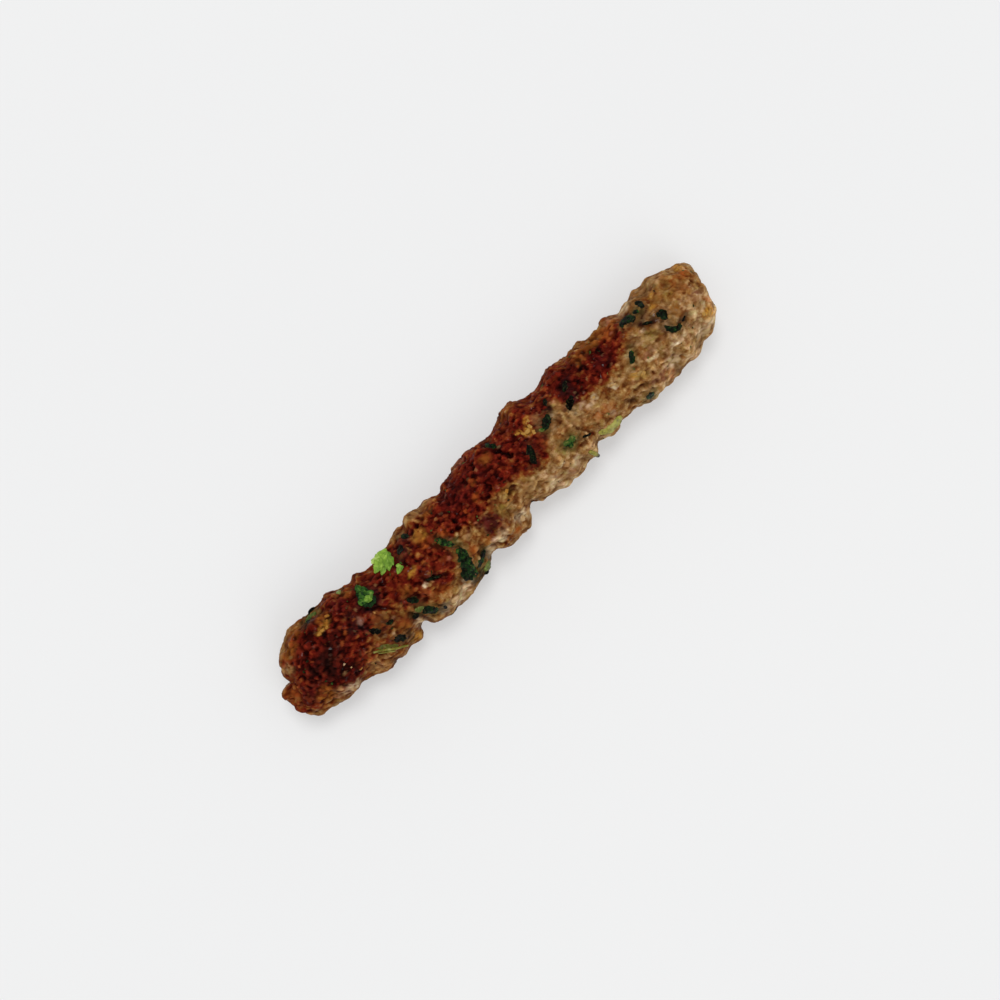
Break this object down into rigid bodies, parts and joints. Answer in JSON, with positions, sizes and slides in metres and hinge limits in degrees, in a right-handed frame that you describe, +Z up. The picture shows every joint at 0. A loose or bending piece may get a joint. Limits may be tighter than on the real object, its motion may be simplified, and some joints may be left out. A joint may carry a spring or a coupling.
{
  "type": "kofta kebab",
  "caption": "Hand-squeezed roll of grilled minced meat with herbs, seared dark along one face, lying on its flattened underside.",
  "frame": {"origin": "on the surface the roll lies on, under the middle of its bounding box", "axes": "+X along the roll towards its rounded end, away from the end with the pinched lip; +Y towards the flank next to the browned face; +Z up"},
  "size_m": [0.2, 0.0374, 0.0255],
  "materials": {
    "grilled_mince": null
  },
  "bodies": {
    "root": {"kofta": "grilled_mince"}
  },
  "joints": []
}
